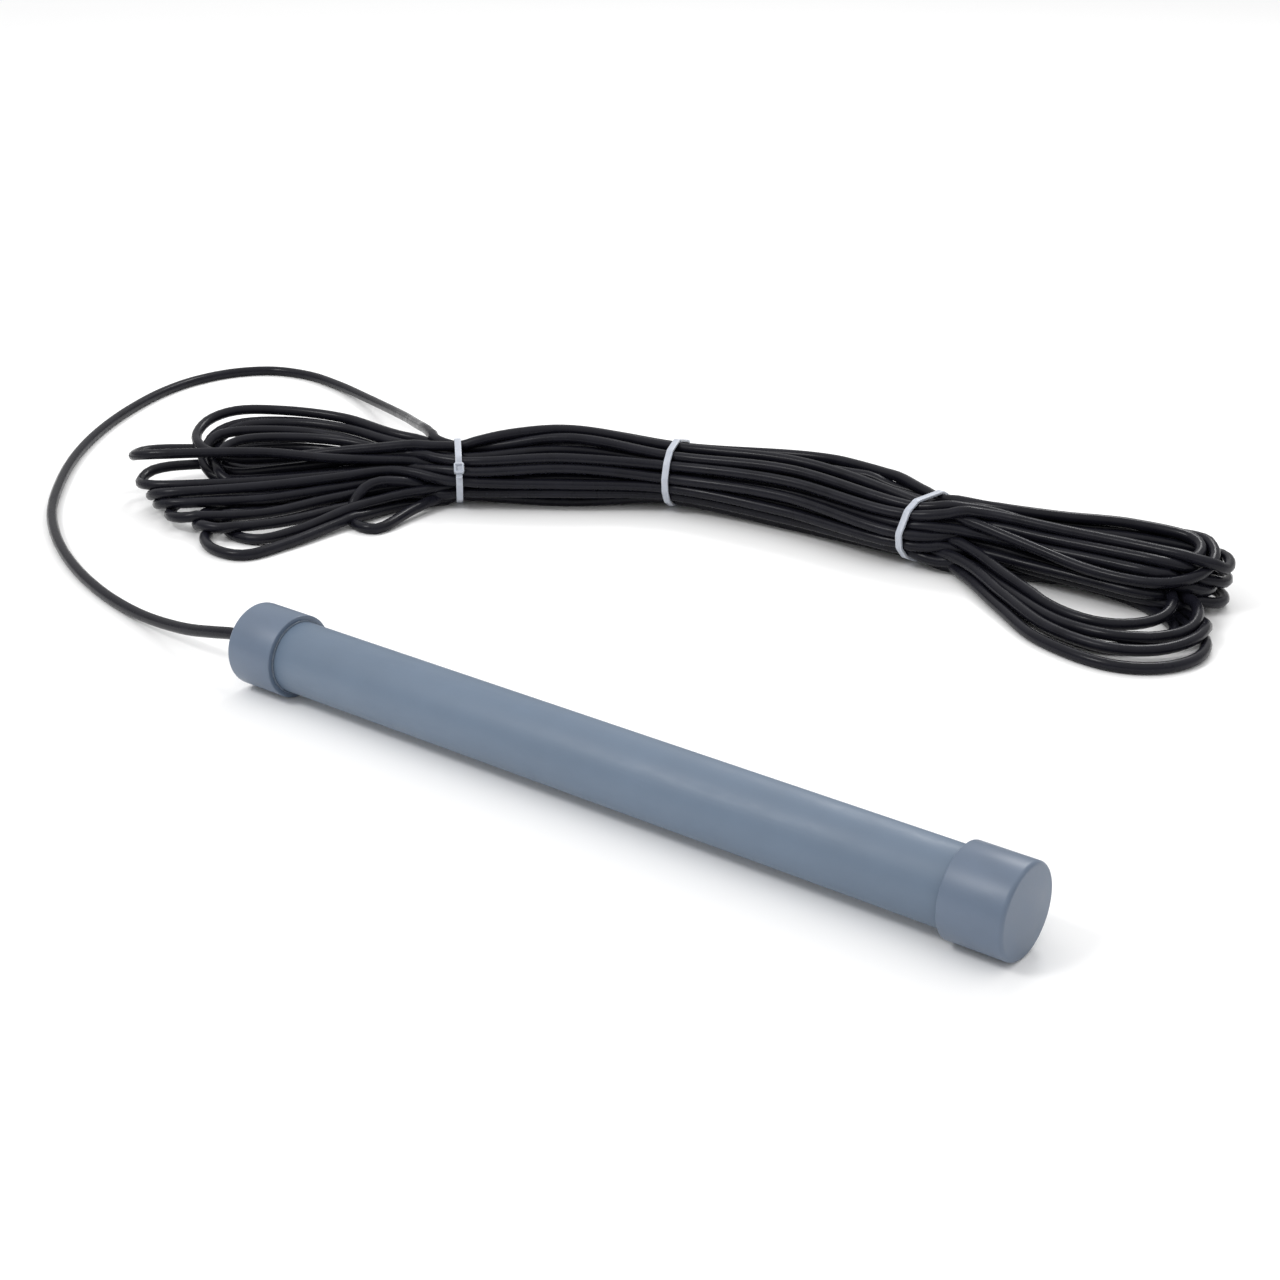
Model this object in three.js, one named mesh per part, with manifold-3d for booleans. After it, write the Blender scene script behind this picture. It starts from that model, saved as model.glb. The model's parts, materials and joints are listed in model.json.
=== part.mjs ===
// A wired magnetic vehicle sensor: a sealed length of grey PVC conduit with a cemented cap on each end, an
// amplifier board and a two-part search coil inside it, and a long black cable wound into a hank with three ties.
// Units are millimetres. +X runs along the tube from the cable end to the far end, and +Z is up. The origin is on
// the floor under the middle of the tube.
import * as THREE from "three";
import { mergeVertices } from "three/addons/utils/BufferGeometryUtils.js";
import Module from "manifold-3d";

const wasm = await Module();
wasm.setup();

// ---- housing ----
const OVERALL_LENGTH = 324; // outside face to outside face of the two caps
const PIPE_OD = 26.7; // 3/4 inch trade size conduit
const PIPE_WALL = 2.9;
const CAP_WALL = 2.05;
const CAP_LENGTH = 22;
const CAP_END_WALL = 3;
const CAP_EDGE = 1.4; // radius of the moulded edge round a cap's face
const MOUTH_CHAMFER = 0.8; // lead-in of a cap's socket
const GAP = 0.3; // room between neighbours that touch

// ---- cable ----
const CABLE_OD = 4.8;
const TAIL_LENGTH = 44; // cable inside the housing, up to the end of its jacket
const STOP_HEAD_CLEARANCE = 2.2; // from the stop tie's head to the bore
const POTTING_LENGTH = 24;
const CONDUCTOR_OD = 1.3;
const DRAIN_OD = 0.7;
const CONDUCTOR_PITCH = 2.54;
const CONDUCTOR_RUN = 16; // from the end of the inner jacket to the connector
const FREE_END_STRIP = 24; // length of the bare conductors at the free end
const FREE_END_FAN = 2.4; // how far neighbouring conductors part on the floor

// ---- amplifier board ----
const BOARD_LENGTH = 92;
const BOARD_THICKNESS = 1.6;
const BOARD_DROP = 3.4; // top of the board below the tube's axis
const BOARD_CLEARANCE = 1.2; // from the board's lower edges to the bore
const BOARD_MARGIN = 2; // bare board beyond the first and last part on it
const BOARD_RING_WIDTH = 5;
const BOARD_TO_COIL = 12;
const CONNECTOR = { length: 7, width: 12.2, height: 5.6 };
const HEADER = { length: 4.4, width: 12.2, height: 5.6 };

// ---- search coil ----
const ROD_OD = 8;
const ROD_OVERHANG = 1; // rod beyond the outer foam rings
const BOBBIN_WALL = 1.2;
const FLANGE_THICKNESS = 1.6;
const FLANGE_CLEARANCE = 0.85; // from a flange to the bore
const WINDING_RECESS = 1.4; // top of the winding below the flange's edge
const RING_WIDTH = 8; // foam rings that centre the coil
const COIL_TO_CAP = 12;
const LEAD_WIRE_OD = 0.8;
const LEAD_NOTCH = 2.6; // slot in flanges and rings for the lead wires
const LEAD_SPREAD = 0.75; // half the distance between the two lead wires

// ---- hank and ties ----
const HANK_HEIGHT = 32.6;
const HANK_ROUNDING = 9;
const NECK_SHOULDER = 1; // hank beside a tie, beyond the inside of the tie
const STRAP_WIDTH = 3;
const STRAP_THICKNESS = 1.3;
const FLOOR_GAP = 0.1;
const TIE_HEAD = { along: 4.6, round: 4.8, out: 3.8 };

const ROUND = 40; // sides of a round piece
const WIRE_SIDES = 8;
const CABLE_SIDES = 10;

// ---- values that follow from them ----
const CAP_OD = PIPE_OD + 2 * (GAP + CAP_WALL);
const AXIS_Z = CAP_OD / 2;
const END_X = OVERALL_LENGTH / 2;
const PIPE_END = END_X - CAP_END_WALL - GAP;
const BORE_R = PIPE_OD / 2 - PIPE_WALL;
const PLUG_R = BORE_R - GAP; // potting and foam in the bore
const CABLE_HOLE_R = CABLE_OD / 2 + GAP;
const TAIL_END = -END_X + TAIL_LENGTH;
const STOP_TIE_X = -PIPE_END + GAP;
const POTTING_X = STOP_TIE_X + STRAP_WIDTH + GAP;
const CONNECTOR_X = TAIL_END + CONDUCTOR_RUN;
const BOARD_X = CONNECTOR_X - BOARD_MARGIN;
const BOARD_TOP = -BOARD_DROP;
const BOARD_FLOOR = BOARD_TOP - BOARD_THICKNESS;
const BOARD_WIDTH = 2 * Math.sqrt((BORE_R - BOARD_CLEARANCE) ** 2 - BOARD_FLOOR ** 2);
const PART_FLOOR = BOARD_TOP + GAP;
const SLEEVE_R = ROD_OD / 2 + GAP;
const BARREL_R = SLEEVE_R + BOBBIN_WALL;
const FLANGE_R = BORE_R - FLANGE_CLEARANCE;
const WINDING_R = FLANGE_R - WINDING_RECESS;
const LEAD_Z = WINDING_R + GAP + LEAD_WIRE_OD / 2;
const COIL_X = BOARD_X + BOARD_LENGTH + BOARD_TO_COIL;
const COIL_END = PIPE_END - COIL_TO_CAP;
const BOBBIN_LENGTH = (COIL_END - COIL_X - 3 * RING_WIDTH - 4 * GAP) / 2;
const BOBBIN_PITCH = BOBBIN_LENGTH + RING_WIDTH + 2 * GAP;

// ---- cable routes, as [x, y, z] of its middle ----
const LEAD_ROUTE = [
  [-162.3, 0, 15.7],
  [-174, 0.5, 15.5],
  [-188, 1.1, 12.6],
  [-203, 2.6, 9.1],
  [-220, 5.2, 6.1],
  [-238, 8.4, 3.9],
  [-256, 12.2, 2.8],
  [-277, 17.8, 2.4],
  [-305, 28, 2.4],
  [-338, 44.8, 2.4],
  [-369, 66.2, 2.4],
  [-397, 92.8, 2.4],
  [-424, 124, 2.4],
  [-446, 157, 2.4],
  [-463, 192, 2.4],
  [-473, 223, 2.4],
  [-475, 247, 2.4],
  [-469.5, 269, 2.4],
  [-456, 284.5, 2.4],
  [-434, 290.3, 2.4],
  [-407, 286.2, 2.8],
  [-373, 274.2, 4.6],
  [-339, 257.5, 8.8],
  [-311, 239.5, 14.6],
  [-288, 222, 20.6],
  [-268.5, 207, 25.6],
];
// The free end lies behind the hank, between the middle and the right tie.
const FREE_END_ROUTE = [
  [-35.5, 285.6, 2.5],
  [-50, 289.8, 2.4],
  [-64, 293.6, 2.4],
  [-77, 297.2, 2.4],
];
// Ties: half the width inside the strap, how much lower than the hank the strap is pulled, and where the head sits
// round it, where 0 is at the back and a quarter turn is on top.
const TIES = {
  left: { halfWidth: 17.5, pinch: 1.3, headTurn: 0.81 * Math.PI },
  middle: { halfWidth: 19, pinch: 0.1, headTurn: 0.06 * Math.PI },
  right: { halfWidth: 19.5, pinch: 1.1, headTurn: 0.1 * Math.PI },
};
// Middle line of the hank seen from above, from left to right, with its half width to the back (+Y) and the front.
const HANK_STATIONS = [
  { at: [-350, 122], back: 38, front: 27 },
  { at: [-312, 132], back: 60, front: 60 },
  { at: [-272, 160], back: 38, front: 45 },
  tieStation("left", [-238, 196]),
  { at: [-200, 228], back: 20, front: 19 },
  tieStation("middle", [-156, 254]),
  { at: [-95, 268], back: 21, front: 20 },
  tieStation("right", [-29, 263]),
  { at: [14, 258], back: 24, front: 30 },
  { at: [60, 249], back: 40, front: 44 },
  { at: [95, 250], back: 35, front: 32 },
];
const HANK_LEFT_TIP = [-366, 112];
const HANK_RIGHT_TIP = [112, 249];

function tieStation(tie, at) {
  const edge = TIES[tie].halfWidth + NECK_SHOULDER;
  return { at, back: edge, front: edge, tie };
}

// The cable's wires in the order that they lie side by side.
const WIRES = [
  { name: "brown_conductor", diameter: CONDUCTOR_OD, material: "brown" },
  { name: "green_conductor", diameter: CONDUCTOR_OD, material: "green" },
  { name: "white_conductor", diameter: CONDUCTOR_OD, material: "white" },
  { name: "drain_wire", diameter: DRAIN_OD, material: "metal" },
];

// ---- materials ----
const matte = (color, roughness, metalness = 0) => new THREE.MeshStandardMaterial({ color, roughness, metalness });
const MATERIALS = {
  pvc: matte(0x7d8d9d, 0.45),
  jacket: matte(0x2c2d31, 0.4),
  nylon: matte(0xc9cad2, 0.4),
  epoxy: matte(0x1b1b1e, 0.25),
  foam: matte(0x4a4a4c, 0.95),
  board: matte(0x1f5c3a, 0.5),
  chip: matte(0x18181a, 0.6),
  metal: matte(0xb9bcc0, 0.3, 1),
  copper: matte(0xa8552a, 0.35, 0.8),
  ferrite: matte(0x33343a, 0.7),
  bobbin: matte(0x202226, 0.55),
  sleeve: matte(0x23303f, 0.4),
  connector: matte(0xe6e2d6, 0.5),
  brown: matte(0x5b3720, 0.45),
  green: matte(0x2f7d44, 0.45),
  white: matte(0xdedede, 0.45),
};

// Pieces of the probe are placed from the tube's axis, and the cable's from the floor.
const probe = new THREE.Group();
probe.position.z = AXIS_Z;
const cable = new THREE.Group();
const sensor = new THREE.Group();
sensor.add(probe, cable);

function add(group, name, geometry, material) {
  const mesh = new THREE.Mesh(geometry, MATERIALS[material]);
  mesh.name = name;
  group.add(mesh);
  return mesh;
}

// ---- cuts and joins ----
function solidOf(geometry) {
  const bare = geometry.index ? geometry.toNonIndexed() : geometry.clone();
  bare.deleteAttribute("normal");
  bare.deleteAttribute("uv");
  const merged = mergeVertices(bare, 1e-3);
  return new wasm.Manifold(
    new wasm.Mesh({
      numProp: 3,
      vertProperties: new Float32Array(merged.attributes.position.array),
      triVerts: new Uint32Array(merged.index.array),
    }),
  );
}

function geometryOf(solid) {
  const mesh = solid.getMesh();
  const geometry = new THREE.BufferGeometry();
  geometry.setAttribute("position", new THREE.BufferAttribute(new Float32Array(mesh.vertProperties), 3));
  geometry.setIndex(new THREE.BufferAttribute(new Uint32Array(mesh.triVerts), 1));
  geometry.computeVertexNormals();
  return geometry;
}

const cut = (geometry, ...tools) => geometryOf(tools.reduce((s, t) => s.subtract(solidOf(t)), solidOf(geometry)));
const join = (geometry, ...others) => geometryOf(others.reduce((s, o) => s.add(solidOf(o)), solidOf(geometry)));

// ---- basic shapes ----
// A profile of [x, radius] pairs turned round the X axis, with a corner of the polygon at the bottom. The pairs go
// anticlockwise, and the profile closes on itself unless it starts and ends on the axis.
function turned(profile, sides = ROUND) {
  const startsOnAxis = profile[0][1] === 0;
  const loop = startsOnAxis ? profile : [...profile, profile[0]];
  const lathe = new THREE.LatheGeometry(loop.map(([x, r]) => new THREE.Vector2(r, x)).reverse(), sides);
  lathe.rotateZ(-Math.PI / 2);
  return lathe;
}

// prettier-ignore
const disc = (x0, x1, outer, sides) => turned([[x1, 0], [x1, outer], [x0, outer], [x0, 0]], sides);
// prettier-ignore
const ring = (x0, x1, inner, outer, sides) => turned([[x0, inner], [x1, inner], [x1, outer], [x0, outer]], sides);

// A box from a low x and a low z, with its middle at y.
function block(x, length, y, width, z, height) {
  const box = new THREE.BoxGeometry(length, width, height);
  box.translate(x + length / 2, y, z + height / 2);
  return box;
}

// A round wire or cable along a smooth curve through the points.
function tube(points, diameter, steps, sides = WIRE_SIDES) {
  const route = points.map((p) => new THREE.Vector3(...p));
  const section = new THREE.Shape();
  for (let i = 0; i < sides; i++) {
    const turn = (2 * Math.PI * i) / sides;
    const corner = [(Math.cos(turn) * diameter) / 2, (Math.sin(turn) * diameter) / 2];
    if (i === 0) section.moveTo(...corner);
    else section.lineTo(...corner);
  }
  section.closePath();
  const extrudePath = new THREE.CatmullRomCurve3(route, false, "centripetal");
  return new THREE.ExtrudeGeometry(section, { steps, extrudePath, bevelEnabled: false });
}

// ---- housing ----
// A slip cap with its face at x = 0 and its mouth towards +X.
function slipCap(holeRadius) {
  const socket = PIPE_OD / 2 + GAP;
  const outer = CAP_OD / 2;
  const edge = [90, 60, 30, 0].map((degrees) => {
    const turn = (degrees * Math.PI) / 180;
    return [CAP_EDGE * (1 - Math.cos(turn)), outer - CAP_EDGE * (1 - Math.sin(turn))];
  });
  return turned([
    [CAP_END_WALL, holeRadius],
    [CAP_END_WALL, socket],
    [CAP_LENGTH - MOUTH_CHAMFER, socket],
    [CAP_LENGTH, socket + MOUTH_CHAMFER],
    [CAP_LENGTH, outer],
    ...edge,
    [0, holeRadius],
  ]);
}

function housing() {
  add(probe, "housing_tube", ring(-PIPE_END, PIPE_END, BORE_R, PIPE_OD / 2), "pvc");
  add(probe, "cable_end_cap", slipCap(CABLE_HOLE_R), "pvc").position.x = -END_X;
  const far = add(probe, "far_end_cap", slipCap(0), "pvc");
  far.position.x = END_X;
  far.rotation.z = Math.PI;
}

// ---- cable entry ----
function cableEntry() {
  add(probe, "cable_tail", disc(-END_X + GAP, TAIL_END, CABLE_OD / 2, 12), "jacket");
  const strap = ring(STOP_TIE_X, STOP_TIE_X + STRAP_WIDTH, CABLE_HOLE_R, CABLE_HOLE_R + STRAP_THICKNESS, 24);
  const headZ = CABLE_HOLE_R + STRAP_THICKNESS / 2;
  const headTop = Math.sqrt((BORE_R - STOP_HEAD_CLEARANCE) ** 2 - (TIE_HEAD.round / 2) ** 2);
  const head = block(STOP_TIE_X, STRAP_WIDTH, 0, TIE_HEAD.round, headZ, headTop - headZ);
  add(probe, "cable_stop_tie", join(strap, head), "nylon");
  add(probe, "potting_plug", ring(POTTING_X, POTTING_X + POTTING_LENGTH, CABLE_HOLE_R, PLUG_R), "epoxy");
}

// The wires leave the jacket in a ring and enter the connector side by side.
function innerWires() {
  const startR = CABLE_OD / 2 - CONDUCTOR_OD / 2 - 0.1;
  const endZ = PART_FLOOR + CONNECTOR.height / 2;
  WIRES.forEach(({ name, diameter, material }, i) => {
    const turn = Math.PI * (1.25 - i / 2);
    const [startY, startZ] = [Math.cos(turn) * startR, Math.sin(turn) * startR];
    const endY = (i - 1.5) * CONDUCTOR_PITCH;
    const route = [
      [TAIL_END + GAP, startY, startZ],
      [TAIL_END + 0.2 * CONDUCTOR_RUN, startY, startZ],
      [CONNECTOR_X - 0.35 * CONDUCTOR_RUN, endY, endZ],
      [CONNECTOR_X - GAP, endY, endZ],
    ];
    add(probe, `inner_${name}`, tube(route, diameter, 10), material);
  });
}

// ---- amplifier board ----
// The parts along the board from the cable end. Each takes the next free stretch, with even gaps between them.
const BOARD_PARTS = [
  { name: "wire_connector", ...CONNECTOR, y: 0, material: "connector" },
  { name: "pin_header", ...HEADER, y: 0, material: "chip" },
  { name: "board_ring_1", length: BOARD_RING_WIDTH, foam: true },
  { name: "voltage_regulator", length: 6.5, width: 3.5, height: 1.6, y: -3.6, material: "chip" },
  { name: "supply_capacitor", length: 6.3, height: 7.2, y: 2.6, can: true },
  { name: "filter_capacitor", length: 5, height: 7, y: 2.4, can: true },
  { name: "output_transistor", length: 3, width: 1.6, height: 1.1, y: -2.8, material: "chip" },
  { name: "amplifier_chip", length: 5, width: 4, height: 1.7, y: -2.4, material: "chip" },
  { name: "comparator_chip", length: 5, width: 4, height: 1.7, y: -2.4, material: "chip" },
  { name: "controller_chip", length: 8.7, width: 4, height: 1.7, y: -1.5, material: "chip" },
  { name: "timing_crystal", length: 5, width: 3.2, height: 1.2, y: 2, material: "metal" },
  { name: "board_ring_2", length: BOARD_RING_WIDTH, foam: true },
];

function board() {
  const plate = block(BOARD_X, BOARD_LENGTH, 0, BOARD_WIDTH, BOARD_FLOOR, BOARD_THICKNESS);
  add(probe, "circuit_board", plate, "board");
  const taken = BOARD_PARTS.reduce((sum, part) => sum + part.length, 0);
  const spacing = (BOARD_LENGTH - 2 * BOARD_MARGIN - taken) / (BOARD_PARTS.length - 1);
  let x = CONNECTOR_X;
  for (const part of BOARD_PARTS) {
    const { name, length, width, height, y, material } = part;
    if (part.foam) add(probe, name, boardRing(x), "foam");
    else if (part.can) add(probe, name, standingCan(x, length, height, y), "sleeve");
    else add(probe, name, block(x, length, y, width, PART_FLOOR, height), material);
    x += length + spacing;
  }
}

function standingCan(x, diameter, height, y) {
  const can = disc(0, height, diameter / 2, 20);
  can.rotateY(-Math.PI / 2);
  can.translate(x + diameter / 2, y, PART_FLOOR);
  return can;
}

// A foam disc with a slot that the board slides through.
function boardRing(x) {
  const [start, through] = [x - 1, BOARD_RING_WIDTH + 2];
  const slot = block(start, through, 0, BOARD_WIDTH + 2 * GAP, BOARD_FLOOR - GAP, BOARD_THICKNESS + 2 * GAP);
  const window = block(start, through, 0, HEADER.width + 4 * GAP, BOARD_TOP, HEADER.height + 4 * GAP);
  return cut(disc(x, x + BOARD_RING_WIDTH, PLUG_R), slot, window);
}

// ---- search coil ----
const leadNotch = (x, width) => block(x - 1, width + 2, 0, LEAD_NOTCH, BARREL_R + GAP, BORE_R);

function bobbin(x) {
  const end = x + BOBBIN_LENGTH;
  const spool = turned([
    [x, SLEEVE_R],
    [end, SLEEVE_R],
    [end, FLANGE_R],
    [end - FLANGE_THICKNESS, FLANGE_R],
    [end - FLANGE_THICKNESS, BARREL_R],
    [x + FLANGE_THICKNESS, BARREL_R],
    [x + FLANGE_THICKNESS, FLANGE_R],
    [x, FLANGE_R],
  ]);
  return cut(spool, leadNotch(x, FLANGE_THICKNESS), leadNotch(end - FLANGE_THICKNESS, FLANGE_THICKNESS));
}

function coil() {
  const rod = disc(COIL_X - ROD_OVERHANG, COIL_END + ROD_OVERHANG, ROD_OD / 2, 24);
  add(probe, "core_rod", rod, "ferrite");
  for (let i = 0; i < 3; i++) {
    const x = COIL_X + i * BOBBIN_PITCH;
    const foam = cut(ring(x, x + RING_WIDTH, SLEEVE_R, PLUG_R), leadNotch(x, RING_WIDTH));
    add(probe, `foam_ring_${i + 1}`, foam, "foam");
  }
  ["near", "far"].forEach((which, i) => {
    const x = COIL_X + RING_WIDTH + GAP + i * BOBBIN_PITCH;
    add(probe, `bobbin_${which}`, bobbin(x), "bobbin");
    const start = x + FLANGE_THICKNESS + GAP;
    const end = x + BOBBIN_LENGTH - FLANGE_THICKNESS - GAP;
    add(probe, `winding_${which}`, ring(start, end, BARREL_R + GAP, WINDING_R), "copper");
  });
}

// Two lead wires run from the near winding to the board, and one wire links the two windings.
function coilLeads() {
  const padX = BOARD_X + BOARD_LENGTH - BOARD_MARGIN;
  const padZ = PART_FLOOR + LEAD_WIRE_OD / 2;
  const windingX = COIL_X + RING_WIDTH + FLANGE_THICKNESS + 2 * GAP;
  const leadWire = (y, onWinding) => [
    [padX, 3 * y, padZ],
    [padX + 3, 3 * y, padZ],
    [COIL_X - 0.4 * BOARD_TO_COIL, 2 * y, (padZ + LEAD_Z) / 2],
    [COIL_X - 1, y, LEAD_Z],
    [COIL_X + RING_WIDTH / 2, y, LEAD_Z],
    [windingX + onWinding, y, LEAD_Z],
  ];
  add(probe, "coil_lead_start", tube(leadWire(-LEAD_SPREAD, 3), LEAD_WIRE_OD, 24), "green");
  add(probe, "coil_lead_finish", tube(leadWire(LEAD_SPREAD, 6), LEAD_WIRE_OD, 24), "white");
  const linkX = COIL_X + BOBBIN_PITCH + RING_WIDTH / 2;
  const linkHalf = RING_WIDTH / 2 + FLANGE_THICKNESS + 5;
  const link = [linkX - linkHalf, linkX, linkX + linkHalf].map((x) => [x, 0, LEAD_Z]);
  add(probe, "coil_link", tube(link, LEAD_WIRE_OD, 8), "brown");
}

// ---- cable hank and its ties ----
const stationPoint = (i) => new THREE.Vector2(...HANK_STATIONS[i].at);

// Unit vector along the hank at a station, towards +X.
function stationAlong(i) {
  const last = HANK_STATIONS.length - 1;
  return stationPoint(Math.min(i + 1, last)).sub(stationPoint(Math.max(i - 1, 0))).normalize();
}

function edgePoint(i, distance) {
  const along = stationAlong(i);
  return stationPoint(i).add(new THREE.Vector2(-along.y, along.x).multiplyScalar(distance));
}

function hankOutline() {
  const front = HANK_STATIONS.map((station, i) => edgePoint(i, -station.front));
  const back = HANK_STATIONS.map((station, i) => edgePoint(i, station.back)).reverse();
  const corners = [new THREE.Vector2(...HANK_LEFT_TIP), ...front, new THREE.Vector2(...HANK_RIGHT_TIP), ...back];
  const loop = new THREE.CatmullRomCurve3(
    corners.map(({ x, y }) => new THREE.Vector3(x, y, 0)),
    true,
    "centripetal",
  );
  return new THREE.Shape(loop.getPoints(64).slice(0, -1).map(({ x, y }) => new THREE.Vector2(x, y)));
}

// A strap's inside half height and the height of its middle, with the strap just clear of the floor.
function neckOf(name) {
  const halfHeight = HANK_HEIGHT / 2 - TIES[name].pinch - STRAP_THICKNESS - FLOOR_GAP;
  return { ...TIES[name], halfHeight, middle: halfHeight + STRAP_THICKNESS + FLOOR_GAP };
}

// Moves a shape drawn in the hank's cross-section to a tie: x points to the back, y up and z along the hank.
function placeAtTie(geometry, i) {
  const along = stationAlong(i);
  const place = new THREE.Matrix4().makeBasis(
    new THREE.Vector3(-along.y, along.x, 0),
    new THREE.Vector3(0, 0, 1),
    new THREE.Vector3(along.x, along.y, 0),
  );
  const { x, y } = stationPoint(i);
  place.setPosition(x, y, neckOf(HANK_STATIONS[i].tie).middle);
  return geometry.applyMatrix4(place);
}

function neckEllipse(name, grow) {
  const { halfWidth, halfHeight } = neckOf(name);
  const shape = new THREE.Shape();
  shape.absellipse(0, 0, halfWidth + grow, halfHeight + grow, 0, 2 * Math.PI);
  return shape;
}

function slab(shape, width) {
  const plate = new THREE.ExtrudeGeometry(shape, { depth: width, bevelEnabled: false, curveSegments: 20 });
  plate.translate(0, 0, -width / 2);
  return plate;
}

function tieHead(name, grow) {
  const { halfWidth, halfHeight, headTurn } = neckOf(name);
  const head = new THREE.BoxGeometry(TIE_HEAD.out + 2 * grow, TIE_HEAD.round + 2 * grow, TIE_HEAD.along + 2 * grow);
  head.translate((TIE_HEAD.out + STRAP_THICKNESS) / 2, 0, 0);
  head.rotateZ(headTurn);
  head.translate(Math.cos(headTurn) * halfWidth, Math.sin(headTurn) * halfHeight, 0);
  return head;
}

// The channel that a tie's strap lies in, with a pocket for its head.
function tieChannel(i, name) {
  const reach = 3 * TIES[name].halfWidth;
  const wide = new THREE.Shape();
  wide.moveTo(-reach, -reach).lineTo(reach, -reach).lineTo(reach, reach).lineTo(-reach, reach).closePath();
  wide.holes.push(neckEllipse(name, -GAP));
  return placeAtTie(join(slab(wide, STRAP_WIDTH + 4 * GAP), tieHead(name, GAP)), i);
}

function tie(i, name) {
  const strap = neckEllipse(name, STRAP_THICKNESS);
  strap.holes.push(neckEllipse(name, 0));
  return placeAtTie(join(slab(strap, STRAP_WIDTH), tieHead(name, 0)), i);
}

function hank() {
  const body = new THREE.ExtrudeGeometry(hankOutline(), {
    depth: HANK_HEIGHT - 2 * HANK_ROUNDING,
    bevelThickness: HANK_ROUNDING,
    bevelSize: HANK_ROUNDING,
    bevelOffset: -HANK_ROUNDING,
    bevelSegments: 3,
  });
  body.translate(0, 0, HANK_ROUNDING);
  const channels = [];
  HANK_STATIONS.forEach((station, i) => {
    if (!station.tie) return;
    channels.push(tieChannel(i, station.tie));
    add(cable, `hank_tie_${station.tie}`, tie(i, station.tie), "nylon");
  });
  add(cable, "cable_hank", cut(body, ...channels), "jacket");
}

// ---- lead and free end of the cable ----
function lead() {
  add(cable, "cable_lead", tube(LEAD_ROUTE, CABLE_OD, 64, CABLE_SIDES), "jacket");
}

// The wires fan out on the floor from the end of the jacket.
function freeEnd() {
  add(cable, "cable_free_end", tube(FREE_END_ROUTE, CABLE_OD, 5, CABLE_SIDES), "jacket");
  const [before, end] = FREE_END_ROUTE.slice(-2).map(([x, y]) => new THREE.Vector2(x, y));
  const { x: dx, y: dy } = end.clone().sub(before).normalize();
  const ahead = (distance, aside, z) => [end.x + dx * distance - dy * aside, end.y + dy * distance + dx * aside, z];
  WIRES.forEach(({ name, diameter, material }, i) => {
    const aside = (i - 1.5) * 1.1 * CONDUCTOR_OD;
    const fan = (i - 1.5) * FREE_END_FAN;
    const startZ = CABLE_OD / 2 + (i % 2 ? 0.5 : -0.5) * CONDUCTOR_OD;
    const floorZ = diameter / 2 + FLOOR_GAP;
    const route = [
      ahead(GAP, 0.7 * aside, startZ),
      ahead(0.2 * FREE_END_STRIP, aside + 0.2 * fan, startZ),
      ahead(0.5 * FREE_END_STRIP, aside + fan, floorZ + GAP),
      ahead(FREE_END_STRIP - i, aside + 2 * fan, floorZ),
    ];
    add(cable, `end_${name}`, tube(route, diameter, 10), material);
  });
}

housing();
cableEntry();
innerWires();
board();
coil();
coilLeads();
hank();
lead();
freeEnd();

export default sensor;
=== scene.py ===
"""Builds the visual model of a wired magnetic vehicle sensor: a capped conduit tube and its hank of cable.

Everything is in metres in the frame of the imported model, which has +X along the tube and the floor at z = 0.
Sizes in the code are in millimetres unless a name says otherwise; MM turns them into metres.
"""
import json
import math
from dataclasses import dataclass

import bmesh
import bpy
import numpy as np
from mathutils import Matrix, Vector


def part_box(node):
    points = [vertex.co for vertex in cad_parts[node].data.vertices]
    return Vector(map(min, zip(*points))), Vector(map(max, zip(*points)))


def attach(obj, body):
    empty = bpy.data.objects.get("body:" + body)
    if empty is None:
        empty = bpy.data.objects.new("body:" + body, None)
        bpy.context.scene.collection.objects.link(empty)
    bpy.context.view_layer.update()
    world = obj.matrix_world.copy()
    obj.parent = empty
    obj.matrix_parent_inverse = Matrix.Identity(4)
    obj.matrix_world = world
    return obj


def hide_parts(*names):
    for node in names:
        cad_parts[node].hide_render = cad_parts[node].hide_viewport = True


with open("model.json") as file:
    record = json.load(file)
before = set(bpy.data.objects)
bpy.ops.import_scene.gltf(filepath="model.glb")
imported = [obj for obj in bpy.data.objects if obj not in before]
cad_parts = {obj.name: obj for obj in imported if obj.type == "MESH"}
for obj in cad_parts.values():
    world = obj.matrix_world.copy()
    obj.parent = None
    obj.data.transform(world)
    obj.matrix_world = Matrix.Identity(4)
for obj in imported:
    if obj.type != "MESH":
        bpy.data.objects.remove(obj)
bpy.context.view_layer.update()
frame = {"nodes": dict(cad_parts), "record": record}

bl_info = {
    "name": "Magnetic vehicle sensor",
    "version": (1, 0, 0),
    "blender": (4, 5, 0),
    "location": "View3D > Sidebar > Vehicle sensor",
    "description": "A sealed conduit probe with a hank of direct-burial cable",
    "category": "Object",
}

MM = 0.001
BODY = "root"
NODE_SLOTS = {part["node"]: part["material_slot"] for part in frame["record"]["subparts"]}
CABLE_OD = 4.8


def box_mm(node):
    """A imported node's lowest and highest corners in millimetres."""
    low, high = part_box(node)
    return [v / MM for v in low], [v / MM for v in high]


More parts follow.
